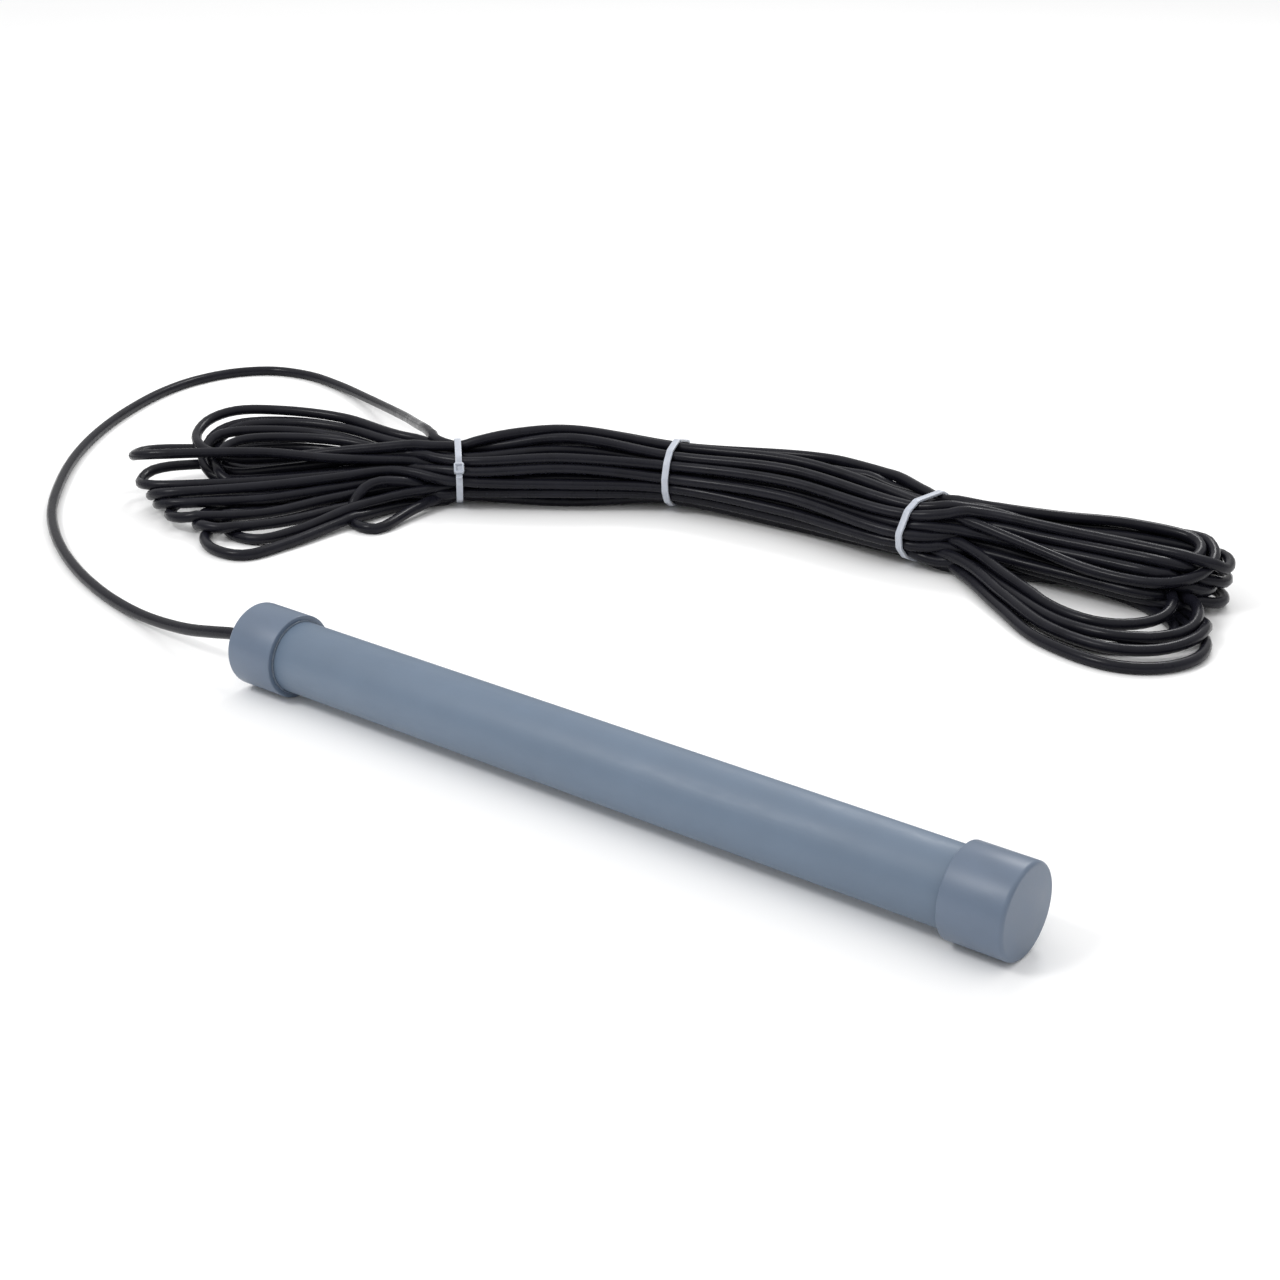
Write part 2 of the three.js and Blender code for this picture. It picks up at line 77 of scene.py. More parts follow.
# ---- the housing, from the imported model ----
NEAR_CAP_LOW, NEAR_CAP_HIGH = box_mm("cable_end_cap")
FAR_CAP_LOW, FAR_CAP_HIGH = box_mm("far_end_cap")
TUBE_LOW, TUBE_HIGH = box_mm("housing_tube")
AXIS_HEIGHT = (NEAR_CAP_LOW[2] + NEAR_CAP_HIGH[2]) / 2
PIPE_OD = TUBE_HIGH[2] - TUBE_LOW[2]
PIPE_WALL = 2.9
CAP_OD = NEAR_CAP_HIGH[2] - NEAR_CAP_LOW[2]
CAP_END_WALL = 3.0
CAP_EDGE = 1.4  # radius round a cap's face
CAP_MOUTH_EDGE = 0.45
CEMENT_BEAD = 0.5  # radius of the cement squeezed out at a cap's mouth
LATHE_SIDES = 128

# ---- the cable and its ties ----
CABLE_LENGTH = 15240.0
HANK_HEIGHT = 32.6
STRAP_WIDTH = 3.0
STRAP_THICKNESS = 1.3
FLOOR_GAP = 0.1
HEAD_ALONG, HEAD_ROUND, HEAD_OUT = 4.6, 4.8, 3.8
SPACING = 3.0  # between the points that the cable is settled on
CABLE_POINTS = 3801  # on the finished cable
GUIDE_SEED = 7
GUIDE_STEP = 1.5  # between the points of the curve that the cable starts from
HELD_BEFORE_HANK = 50.0  # the lead is held up to here before its last route point
SETTLE_ROUNDS = 500
LEAD_ROUTE = (
    (-162.3, 0, 15.7), (-174, 0.5, 15.5), (-188, 1.1, 12.6), (-203, 2.6, 9.1), (-220, 5.2, 6.1),
    (-238, 8.4, 3.9), (-256, 12.2, 2.8), (-277, 17.8, 2.4), (-305, 28, 2.4), (-338, 44.8, 2.4),
    (-369, 66.2, 2.4), (-397, 92.8, 2.4), (-424, 124, 2.4), (-446, 157, 2.4), (-463, 192, 2.4),
    (-473, 223, 2.4), (-475, 247, 2.4), (-469.5, 269, 2.4), (-456, 284.5, 2.4), (-434, 290.3, 2.4),
    (-407, 286.2, 2.8), (-373, 274.2, 4.6), (-339, 257.5, 8.8), (-311, 239.5, 14.6), (-288, 222, 20.6),
    (-268.5, 207, 25.6),
)
FREE_END_ROUTE = ((-35.5, 285.6, 2.5), (-50, 289.8, 2.4), (-64, 293.6, 2.4), (-77, 297.2, 2.4))
# The last strand lies low at the back of the right tie, on the strap, and goes on as the free end.
PAST_RIGHT_TIE = ((-8, 281.0, 3.2), (-20, 282.9, 4.3), (-29, 284.2, 3.9))
PASSING_SIDE = -20.0  # that strand's place beside the right tie's line, where the front is positive

# ---- camera and room ----
CAMERA_PLACE = Vector((0.4083, -0.5036, 0.3399))
CAMERA_BACK = Vector((0.5612, -0.7261, 0.3971))
CAMERA_LENS = 61.06


def linear(hex_colour):
    """An sRGB hex colour as linear red, green and blue."""
    parts = [int(hex_colour[i:i + 2], 16) / 255 for i in (1, 3, 5)]
    return tuple(v / 12.92 if v <= 0.04045 else ((v + 0.055) / 1.055) ** 2.4 for v in parts)


class SensorSizes(bpy.types.PropertyGroup):
    cap_edge: bpy.props.FloatProperty(
        name="Cap edge", description="Radius of the moulded edge round each cap's face",
        default=CAP_EDGE * MM, min=0.0002, max=0.0018, subtype="DISTANCE", unit="LENGTH")
    cement_bead: bpy.props.FloatProperty(
        name="Cement bead", description="Radius of the cement squeezed out at the caps' mouths",
        default=CEMENT_BEAD * MM, min=0.0002, max=0.0008, subtype="DISTANCE", unit="LENGTH")
    cable_diameter: bpy.props.FloatProperty(
        name="Cable diameter", description="Outside diameter of the cable's jacket",
        default=CABLE_OD * MM, min=0.004, max=0.0052, subtype="DISTANCE", unit="LENGTH")
    strap_width: bpy.props.FloatProperty(
        name="Strap width", description="Width of each cable tie's strap",
        default=STRAP_WIDTH * MM, min=0.002, max=0.004, subtype="DISTANCE", unit="LENGTH")
    strap_thickness: bpy.props.FloatProperty(
        name="Strap thickness", description="Thickness of each cable tie's strap",
        default=STRAP_THICKNESS * MM, min=0.0008, max=0.0014, subtype="DISTANCE", unit="LENGTH")
    floor_size: bpy.props.FloatProperty(
        name="Floor size", description="Side of the pale floor that the sensor lies on",
        default=12.0, min=2.0, max=40.0, subtype="DISTANCE", unit="LENGTH")


def colour_property(name, description, hex_colour):
    return bpy.props.FloatVectorProperty(
        name=name, description=description, default=linear(hex_colour), size=3, min=0, max=1, subtype="COLOR")


class SensorColours(bpy.types.PropertyGroup):
    conduit: colour_property("Conduit", "Colour of the extruded tube", "#617184")
    cap: colour_property("Caps", "Colour of the moulded end caps", "#5D6B7E")
    jacket: colour_property("Jacket", "Colour of the cable's jacket", "#15151C")
    strap: colour_property("Ties", "Colour of the nylon ties", "#B9BEC8")
    floor: colour_property("Floor", "Colour of the floor", "#F8F8F8")


# ---- materials ----


def add_node(tree, kind, values=None, links=None, **settings):
    """Adds a node with its settings, its input values and the sockets that feed it."""
    node = tree.nodes.new(kind)
    for name, value in settings.items():
        setattr(node, name, value)
    for socket, value in (values or {}).items():
        node.inputs[socket].default_value = value
    for socket, source in (links or {}).items():
        tree.links.new(source, node.inputs[socket])
    return node


def new_material(name, **shader_values):
    """A material with one principled shader, whose even values are set on its own sockets."""
    material = bpy.data.materials.new(name)
    material.use_nodes = True
    tree = material.node_tree
    tree.nodes.clear()
    shader = add_node(tree, "ShaderNodeBsdfPrincipled", shader_values)
    add_node(tree, "ShaderNodeOutputMaterial", links={"Surface": shader.outputs["BSDF"]})
    return material, tree, shader


def with_alpha(colour):
    return (*colour, 1.0)


def shade(colour, amount):
    """The colour lighter (above 1) or darker (below 1)."""
    return tuple(min(1.0, v * amount) for v in colour)


def patches(tree, size_mm, stretch=(1, 1, 1), detail=4.0, rough=0.55):
    """Noise in the piece's own space, with patches of about the given size."""
    place = add_node(tree, "ShaderNodeTexCoord")
    turned = add_node(tree, "ShaderNodeMapping", {"Scale": stretch}, {"Vector": place.outputs["Object"]})
    return add_node(
        tree, "ShaderNodeTexNoise", {"Scale": 1 / (size_mm * MM), "Detail": detail, "Roughness": rough},
        {"Vector": turned.outputs["Vector"]}).outputs["Fac"]


def tint(tree, factor, low, high, from_min=0.3, from_max=0.7):
    """A colour between low and high as the factor goes from from_min to from_max."""
    ramp = add_node(tree, "ShaderNodeValToRGB", links={"Fac": factor})
    ramp.color_ramp.elements[0].position = from_min
    ramp.color_ramp.elements[0].color = with_alpha(low)
    ramp.color_ramp.elements[1].position = from_max
    ramp.color_ramp.elements[1].color = with_alpha(high)
    return ramp.outputs["Color"]


def span_of(tree, factor, low, high, from_min=0.3, from_max=0.7):
    """A number between low and high as the factor goes from from_min to from_max."""
    return add_node(
        tree, "ShaderNodeMapRange",
        {"From Min": from_min, "From Max": from_max, "To Min": low, "To Max": high},
        {"Value": factor}).outputs["Result"]


def relief(tree, height, depth_mm, under=None):
    """A bump of the given depth, over another bump where there is one."""
    links = {"Height": height}
    if under is not None:
        links["Normal"] = under
    bump = add_node(tree, "ShaderNodeBump", {"Strength": 1.0, "Distance": depth_mm * MM}, links)
    return bump.outputs["Normal"]


def feed(tree, shader, colour=None, roughness=None, normal=None):
    for socket, source in (("Base Color", colour), ("Roughness", roughness), ("Normal", normal)):
        if source is not None:
            tree.links.new(source, shader.inputs[socket])


def moulded(name, colour, gloss, mottle_mm, contrast=0.06, grain_mm=0.6, grain_depth=0.012, **values):
    """A plain moulded, cast or coated surface: soft mottling, gloss that varies a little and a fine grain."""
    material, tree, shader = new_material(name, **values)
    mottle = patches(tree, mottle_mm)
    grain = patches(tree, grain_mm, detail=2.0)
    feed(
        tree, shader,
        tint(tree, mottle, shade(colour, 1 - contrast), shade(colour, 1 + contrast)),
        span_of(tree, mottle, gloss - 0.05, gloss + 0.06),
        relief(tree, grain, grain_depth))
    return material


def extruded_conduit(colour):
    """Extruded rigid PVC: the die leaves fine lines along the tube, and storage scuffs it slightly."""
    material, tree, shader = new_material("extruded_pvc_conduit", IOR=1.53)
    cloud = patches(tree, 28, detail=3.0)
    lines = patches(tree, 0.9, stretch=(0.02, 1, 1), detail=3.0)
    scuffs = patches(tree, 5, stretch=(0.35, 1, 1), detail=8.0, rough=0.75)
    specks = patches(tree, 0.35, detail=1.0)
    body = tint(tree, cloud, shade(colour, 0.95), shade(colour, 1.05))
    rubbed = add_node(
        tree, "ShaderNodeMix", {"B": with_alpha(shade(colour, 1.22))},
        {"A": body, "Factor": span_of(tree, scuffs, 0.0, 0.45, 0.62, 0.78)},
        data_type="RGBA")
    feed(
        tree, shader, mixed_colour(rubbed),
        span_of(tree, scuffs, 0.40, 0.56),
        relief(tree, specks, 0.006, relief(tree, lines, 0.02)))
    return material


def mixed_colour(mix):
    """The colour output of a colour mix, which has one socket of that name for each kind of data."""
    return next(s for s in mix.outputs if s.type == "RGBA")


def moulded_cap(colour):
    """Injection-moulded PVC: smoother than the tube, with faint cloudy flow marks and a satin skin."""
    material, tree, shader = new_material("moulded_pvc_cap", IOR=1.53)
    flow = patches(tree, 14, stretch=(0.6, 1, 1), detail=5.0, rough=0.6)
    skin = patches(tree, 0.5, detail=2.0)
    rubs = patches(tree, 3, detail=8.0, rough=0.8)
    body = tint(tree, flow, shade(colour, 0.94), shade(colour, 1.06))
    rubbed = add_node(
        tree, "ShaderNodeMix", {"B": with_alpha(shade(colour, 1.25))},
        {"A": body, "Factor": span_of(tree, rubs, 0.0, 0.4, 0.64, 0.8)},
        data_type="RGBA")
    feed(tree, shader, mixed_colour(rubbed), span_of(tree, flow, 0.34, 0.46), relief(tree, skin, 0.008))
    return material


def cable_jacket(colour):
    """Extruded polyethylene jacket: black with a blue cast, satin, with the wavering gloss of a drawn skin
    and a little pale dust from handling."""
    material, tree, shader = new_material(
        "extruded_polyethylene_jacket", **{"IOR": 1.35, "Specular IOR Level": 0.3})
    waver = patches(tree, 9, detail=3.0)
    drawn = patches(tree, 0.7, detail=2.0)
    dust = patches(tree, 2.2, detail=8.0, rough=0.8)
    body = tint(tree, waver, shade(colour, 0.85), shade(colour, 1.25))
    dusty = add_node(
        tree, "ShaderNodeMix", {"B": with_alpha(linear("#4A4A4E"))},
        {"A": body, "Factor": span_of(tree, dust, 0.0, 0.12, 0.6, 0.8)},
        data_type="RGBA")
    feed(tree, shader, mixed_colour(dusty), span_of(tree, waver, 0.20, 0.34), relief(tree, drawn, 0.02))
    return material


def tie_nylon(colour):
    """Injection-moulded natural nylon: milky, so light bleeds through the thin strap, with a soft gloss."""
    material, tree, shader = new_material(
        "moulded_natural_nylon",
        **{"IOR": 1.53, "Subsurface Weight": 0.35, "Subsurface Radius": (0.0012, 0.0011, 0.0010),
           "Subsurface Scale": 1.0})
    milk = patches(tree, 4, detail=3.0)
    grain = patches(tree, 0.4, detail=2.0)
    feed(tree, shader, tint(tree, milk, shade(colour, 0.93), colour), span_of(tree, milk, 0.32, 0.45),
         relief(tree, grain, 0.01))
    return material


def cement():
    """Squeezed-out solvent cement: glossier than the PVC, with a wrinkled dried skin, and darker than it as
    painted shade in the corner at each cap's mouth.
    """
    return moulded("solvent_cement_with_painted_shade", linear("#55616F"), 0.28, 3, 0.12, 0.8, 0.03, IOR=1.5)


def board_laminate():
    """Glass-epoxy laminate under solder mask: green, glossy, with the glass weave just showing."""
    material, tree, shader = new_material("masked_glass_epoxy", IOR=1.5)
    place = add_node(tree, "ShaderNodeTexCoord")
    weave = add_node(
        tree, "ShaderNodeTexChecker", {"Scale": 1 / (0.5 * MM)}, {"Vector": place.outputs["Object"]})
    cloud = patches(tree, 6)
    colour = tint(tree, cloud, linear("#124A2C"), linear("#1B6238"))
    feed(tree, shader, colour, span_of(tree, cloud, 0.22, 0.34), relief(tree, weave.outputs["Fac"], 0.01))
    return material


def wound_copper():
    """Enamelled copper wire wound side by side: a reddish metal with one fine ridge per turn, its colour
    painted darker in the grooves between turns as painted shade and lighter on the crests as painted
    highlight.
    """
    material, tree, shader = new_material("enamelled_copper_winding", Metallic=0.85)
    place = add_node(tree, "ShaderNodeTexCoord")
    turns = add_node(
        tree, "ShaderNodeTexWave", {"Scale": 1 / (0.4 * MM) / 6.2832, "Distortion": 0.3},
        {"Vector": place.outputs["Object"]}, wave_type="BANDS", bands_direction="X")
    # The bands that raise each ridge also darken the colour in the grooves (painted shade) and lighten it on
    # the crests (painted highlight).
    colour = tint(tree, turns.outputs["Fac"], linear("#6E3018"), linear("#C0703C"), 0.1, 0.9)
    feed(tree, shader, colour, span_of(tree, turns.outputs["Fac"], 0.45, 0.26, 0, 1),
         relief(tree, turns.outputs["Fac"], 0.05))
    return material


def cell_foam():
    """Closed-cell foam, cut from sheet: charcoal and dull, with open cells on every cut face."""
    material, tree, shader = new_material("cut_closed_cell_foam")
    place = add_node(tree, "ShaderNodeTexCoord")
    cells = add_node(
        tree, "ShaderNodeTexVoronoi", {"Scale": 1 / (0.8 * MM)}, {"Vector": place.outputs["Object"]})
    colour = tint(tree, cells.outputs["Distance"], linear("#3A3B3E"), linear("#1E1F21"), 0.1, 0.7)
    feed(tree, shader, colour, span_of(tree, cells.outputs["Distance"], 0.95, 0.8),
         relief(tree, cells.outputs["Distance"], 0.2))
    return material


def slot_materials(colours):
    """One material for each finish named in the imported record."""
    conduit, cap = tuple(colours.conduit), tuple(colours.cap)
    jacket, strap = tuple(colours.jacket), tuple(colours.strap)
    return {
        "conduit_grey": extruded_conduit(conduit),
        "cap_grey": moulded_cap(cap),
        "cable_jacket": cable_jacket(jacket),
        "tie_nylon": tie_nylon(strap),
        # Cast epoxy: a level black pour with a wet-looking skin.
        "potting_epoxy": moulded("cast_black_epoxy", linear("#141416"), 0.16, 8, 0.15, 1.5, 0.02, IOR=1.55),
        "circuit_board": board_laminate(),
        # Moulded polyamide: off-white, with a fine spark-eroded texture.
        "connector_body": moulded("moulded_polyamide", linear("#D9D4C4"), 0.5, 3, 0.04, 0.3, 0.02, IOR=1.53),
        # Transfer-moulded epoxy: near black and matt, with the mould's grit.
        "chip_black": moulded("moulded_epoxy_package", linear("#1B1C1E"), 0.6, 2, 0.1, 0.15, 0.02, IOR=1.55),
        # Heat-shrunk PVC sleeve: dark blue and glossy, tight over the can.
        "capacitor_sleeve": moulded(
            "shrunk_pvc_sleeve", linear("#1E2A4C"), 0.25, 3, 0.08, 0.8, 0.01, IOR=1.53),
        # Drawn and nickel-plated steel: a bright metal with slightly uneven polish.
        "crystal_can": moulded(
            "drawn_nickel_plate", linear("#BFC2C4"), 0.28, 2, 0.05, 0.3, 0.006, Metallic=1.0),
        # Sintered ferrite: a dark grey ceramic, ground to size, dull.
        "core_ferrite": moulded("ground_ferrite", linear("#2C2D30"), 0.55, 4, 0.12, 0.25, 0.03, Metallic=0.2),
        # Moulded glass-filled nylon: black-brown with fibre streaks in its skin.
        "bobbin_plastic": moulded(
            "glass_filled_nylon", linear("#26221F"), 0.48, 2, 0.12, 0.4, 0.02, IOR=1.53),
        "copper_winding": wound_copper(),
        "foam": cell_foam(),
        # Extruded PVC insulation: even colour with a soft gloss.
        "wire_brown": moulded("brown_pvc_insulation", linear("#5B3420"), 0.38, 3, 0.06, 0.5, 0.01, IOR=1.53),
        "wire_green": moulded("green_pvc_insulation", linear("#1F6B3A"), 0.38, 3, 0.06, 0.5, 0.01, IOR=1.53),
        "wire_white": moulded("white_pvc_insulation", linear("#DEDEDA"), 0.38, 3, 0.03, 0.5, 0.01, IOR=1.53),
        # Tinned copper strand: a soft silvery metal, dulled by its tinning.
        "drain_wire": moulded("tinned_copper", linear("#A9A9A6"), 0.36, 1.5, 0.1, 0.3, 0.02, Metallic=1.0),
    }


def material_of(slot):
    """The finished material of a slot, made once by the finishes operator."""
    name = bpy.context.scene.get("sensor_finishes", {}).get(slot)
    if name is None:
        raise RuntimeError(f"no material for the slot {slot}: run the finishes operator first")
    return bpy.data.materials[name]


# ---- the cable's path: millimetres in, millimetres out ----


@dataclass
class Tie:
    """A tie's ring round the hank: its centre, the way the hank runs there, and its inner half sizes."""

    name: str
    centre: np.ndarray
    along: np.ndarray
    back: np.ndarray
    half_width: float
    half_height: float
    head_turn: float


def make_tie(name, before, at, after, half_width, pinch, head_turn):
    """A tie at one station of the hank, square to the line between its neighbours."""
    step = np.array(after, float) - np.array(before, float)
    step /= np.linalg.norm(step)
    half_height = HANK_HEIGHT / 2 - pinch - STRAP_THICKNESS - FLOOR_GAP
    centre = np.array([at[0], at[1], half_height + STRAP_THICKNESS + FLOOR_GAP])
    along = np.array([step[0], step[1], 0.0])
    back = np.array([-step[1], step[0], 0.0])
    return Tie(name, centre, along, back, half_width, half_height, head_turn)


LEFT_TIE = make_tie("left", (-272, 160), (-238, 196), (-200, 228), 17.5, 1.3, 0.81)
MIDDLE_TIE = make_tie("middle", (-200, 228), (-156, 254), (-95, 268), 19.0, 0.1, 0.06)
RIGHT_TIE = make_tie("right", (-95, 268), (-29, 263), (14, 258), 19.5, 1.1, 0.10)
TIES = (LEFT_TIE, MIDDLE_TIE, RIGHT_TIE)
# Places between the ties where the bundle is a little looser.
LEFT_SPAN = make_tie("left span", (-238, 196), (-200, 228), (-156, 254), 20.5, -1.9, 0)
RIGHT_SPAN = make_tie("right span", (-156, 254), (-95, 268), (-29, 263), 20.5, -0.6, 0)

ROW_COUNTS = (3, 5, 7, 7, 5, 3)  # places for strands in each layer of a ring, top layer first
ROW_SPREAD = 0.78  # height of the top layer's centre, as a share of the ring's inner height
SLOT_REACH = 0.86  # the widest layer's half width, as a share of the ring's


def strand_slots():
    """Each strand's place in a ring, as shares of its half sizes: the front ones and the back ones."""
    front, back = [], []
    for row, count in enumerate(ROW_COUNTS):
        up = ROW_SPREAD * (1 - 2 * row / (len(ROW_COUNTS) - 1))
        reach = SLOT_REACH * math.sqrt(1 - up * up)
        across = list(np.linspace(-reach, reach, count))
        share = count // 2 + (count % 2) * (1 - row % 2)
        front += [(x, up) for x in sorted(across[:share], key=lambda x: -abs(x))]
        back += [(x, up) for x in sorted(across[share:], key=lambda x: -abs(x))]
    return front, back


def in_ring(tie, slot, looser=1.0):
    """The point of a strand inside a ring."""
    across = slot[0] / SLOT_REACH * (tie.half_width - CABLE_OD / 2) * looser
    up = slot[1] / SLOT_REACH * (tie.half_height - CABLE_OD / 2) * looser
    return tie.centre + tie.back * across + np.array([0, 0, up])


@dataclass
class Fold:
    """One fold of the cable beyond a tie, in millimetres out from the tie and towards the front."""

    tip: float  # how far out it reaches
    shift: float  # its tip's middle, towards the front
    width: float  # of the round end
    back_leg: float  # where its back leg runs, towards the front
    front_leg: float
    back_height: float  # of the back leg, the tip and the front leg above the floor
    tip_height: float
    front_height: float


# Beyond the left tie: bows that arch out at the back, flat hairpins, then loops that lie open on the floor.
LEFT_FOLDS = (
    Fold(121, -37, 44, -57, -14, 26.5, 20, 15),
    Fold(117, -34, 38, -53, -14, 26, 20, 13),
    Fold(114, -31, 30, -48, -16, 25, 19, 13),
    Fold(118, -26, 28, -42, -12, 23.5, 17, 11),
    Fold(112, -19, 28, -35, -4, 21, 14, 8),
    Fold(150, -26, 26, -38, -12, 20, 21, 25),
    Fold(146, -11, 28, -30, 4, 16, 13, 15),
    Fold(140, 2, 26, -12, 14, 8, 9, 14),
    Fold(137, 6, 26, -6, 20, 6, 6, 10),
    Fold(131, 19, 30, 4, 34, 7, 4, 5),
    Fold(117, 30, 30, 12, 42, 5, 3, 4),
    Fold(106, 28, 44, 4, 48, 3, 3, 3),
    Fold(48, 27, 28, 10, 42, 16, 3, 2.4),
    Fold(114, 44, 50, 14, 64, 3, 2.4, 2.4),
)
# Beyond the right tie: flat hairpins in line with the hank, then wide loops that drop to the floor.
RIGHT_FOLDS = (
    Fold(112, -29, 28, -44, -17, 23, 21, 20),
    Fold(120, -27, 40, -47, -4, 22, 18, 14),
    Fold(122, -34, 26, -46, -18, 19, 17, 22),
    Fold(116, -30, 26, -42, -14, 16, 17, 22),
    Fold(123, -34, 26, -46, -20, 11, 12, 16),
    Fold(112, -24, 26, -36, -10, 14, 14, 18),
    Fold(120, -28, 26, -40, -14, 8, 9, 12),
    Fold(124, -32, 26, -44, -18, 5, 6, 9),
    Fold(110, -20, 26, -32, -6, 9, 9, 12),
    Fold(118, -24, 26, -36, -10, 4, 4, 8),
    Fold(118, 4, 46, -26, 28, 10, 7, 6),
    Fold(132, 6, 52, -28, 34, 8, 6, 6),
    Fold(137, 12, 56, -32, 40, 4, 5, 4),
    Fold(143, 18, 60, -34, 47, 3, 3, 2.4),
    Fold(126, 12, 50, -18, 37, 3, 2.4, 2.4),
)
# How far a leg has left the tie's own line at each of the three points before the fold's round end.
LEG_SHARES = (0.22, 0.45, 0.68)
LEFT_LEANS = ((0.35, 0.8, 1.0), (0.2, 0.5, 0.88))
RIGHT_LEANS = ((0.25, 0.5, 0.85), (0.25, 0.62, 0.95))


def fold_points(tie, fold, start, end, start_side=0.0):
    """A fold's points from its back leg, which comes from start_side of the tie's line, to its front leg."""
    way, leans = (-1, LEFT_LEANS) if tie is LEFT_TIE else (1, RIGHT_LEANS)
    radius = fold.width / 2
    run = min(fold.tip, 130)

    def leg(side, lateral, height, at_tie, from_side):
        places = [(share * run, from_side * (1 - lean) + lateral * lean, at_tie * (1 - lean) + height * lean)
                  for share, lean in zip(LEG_SHARES, side)]
        return [p for p in places if p[0] < fold.tip - radius - 4]

    points = leg(leans[0], fold.back_leg, fold.back_height, start[2], start_side)
    for turn in (-75, -38, 0, 38, 75):
        angle = math.radians(turn)
        height = fold.front_height if turn > 0 else fold.back_height
        lift = (height - fold.tip_height) * abs(math.sin(angle))
        points.append((fold.tip - radius + radius * math.cos(angle),
                       fold.shift + radius * math.sin(angle),
                       fold.tip_height + lift))
    points += leg(leans[1], fold.front_leg, fold.front_height, end[2], 0.0)[::-1]
    flat = tie.centre * np.array([1, 1, 0])
    return [flat + tie.along * way * out - tie.back * front + np.array([0, 0, z]) for out, front, z in points]


def cable_guide(seed):
    """The points that lead the cable from the cap, through every fold of the hank, to its free end."""
    wander = np.random.default_rng(seed)
    front, back = strand_slots()
    points = [np.array(p, float) for p in LEAD_ROUTE]

    def span(place, slot):
        return in_ring(place, slot, 1.12) + wander.normal(0, 0.9, 3)

    for k, right_fold in enumerate(RIGHT_FOLDS):
        if k == 0:
            points.append(in_ring(LEFT_TIE, (0.35, 0.88)) + LEFT_TIE.back * 3 - LEFT_TIE.along * 9)
            points.append(in_ring(LEFT_TIE, (0.12, 0.84)) + LEFT_TIE.along * 4)
            points.append(span(LEFT_SPAN, (-0.3, 0.83)))
            points.append(in_ring(MIDDLE_TIE, front[0]))
            points.append(span(RIGHT_SPAN, front[0]))
        else:
            points += [in_ring(LEFT_TIE, front[k]), span(LEFT_SPAN, front[k])]
            points += [in_ring(MIDDLE_TIE, front[k]), span(RIGHT_SPAN, front[k])]
        leaving = in_ring(RIGHT_TIE, front[k])
        entering = in_ring(RIGHT_TIE, back[k])
        points.append(leaving)
        if k == len(LEFT_FOLDS):
            passing = np.array(PAST_RIGHT_TIE[0])
            points += fold_points(RIGHT_TIE, right_fold, passing, leaving, PASSING_SIDE)[::-1]
            break
        points += fold_points(RIGHT_TIE, right_fold, entering, leaving)[::-1]
        points.append(entering)
        points += [span(RIGHT_SPAN, back[k + 1]), in_ring(MIDDLE_TIE, back[k + 1])]
        points.append(span(LEFT_SPAN, back[k + 1]))
        leaving = in_ring(LEFT_TIE, back[k + 1])
        entering = in_ring(LEFT_TIE, front[k + 1])
        points.append(leaving)
        points += fold_points(LEFT_TIE, LEFT_FOLDS[k], leaving, entering)
    return np.array(points + [np.array(p, float) for p in PAST_RIGHT_TIE + FREE_END_ROUTE])


def smooth_curve(points, step):
    """A centripetal Catmull-Rom curve through the points."""
    ends = np.vstack([2 * points[0] - points[1], points, 2 * points[-1] - points[-2]])
    pieces = []
    for p0, p1, p2, p3 in zip(ends, ends[1:], ends[2:], ends[3:]):
        t1 = max(np.linalg.norm(p1 - p0), 1e-3) ** 0.5
        t2 = t1 + max(np.linalg.norm(p2 - p1), 1e-3) ** 0.5
        t3 = t2 + max(np.linalg.norm(p3 - p2), 1e-3) ** 0.5
        count = max(2, int(np.linalg.norm(p2 - p1) / step))
        t = np.linspace(t1, t2, count, endpoint=False)[:, None]
        a1 = (t1 - t) / t1 * p0 + t / t1 * p1
        a2 = (t2 - t) / (t2 - t1) * p1 + (t - t1) / (t2 - t1) * p2
        a3 = (t3 - t) / (t3 - t2) * p2 + (t - t2) / (t3 - t2) * p3
        b1 = (t2 - t) / t2 * a1 + t / t2 * a2
        b2 = (t3 - t) / (t3 - t1) * a2 + (t - t1) / (t3 - t1) * a3
        pieces.append((t2 - t) / (t2 - t1) * b1 + (t - t1) / (t2 - t1) * b2)
    return np.vstack(pieces + [points[-1:]])


def even_points(points, count):
    """The same curve with evenly spaced points."""
    along = np.concatenate([[0], np.cumsum(np.linalg.norm(np.diff(points, axis=0), axis=1))])
    places = np.linspace(0, along[-1], count)
    return np.stack([np.interp(places, along, points[:, axis]) for axis in range(3)], axis=1)


def length_of(points):
    return float(np.linalg.norm(np.diff(points, axis=0), axis=1).sum())


def near_pairs(points, reach, apart):
    """Pairs of points nearer than reach that are at least apart places from each other along the cable."""
    single = points.astype(np.float32)
    single -= single.mean(axis=0)
    squares = (single * single).sum(axis=1)
    firsts, seconds = [], []
    block = 512
    for low in range(0, len(single), block):
        part = single[low:low + block]
        distance = squares[low:low + block, None] + squares[None, low:] - 2 * part @ single[low:].T
        i, j = np.nonzero(distance < reach * reach)
        keep = j - i >= apart
        firsts.append(i[keep] + low)
        seconds.append(j[keep] + low)
    return np.concatenate(firsts), np.concatenate(seconds)


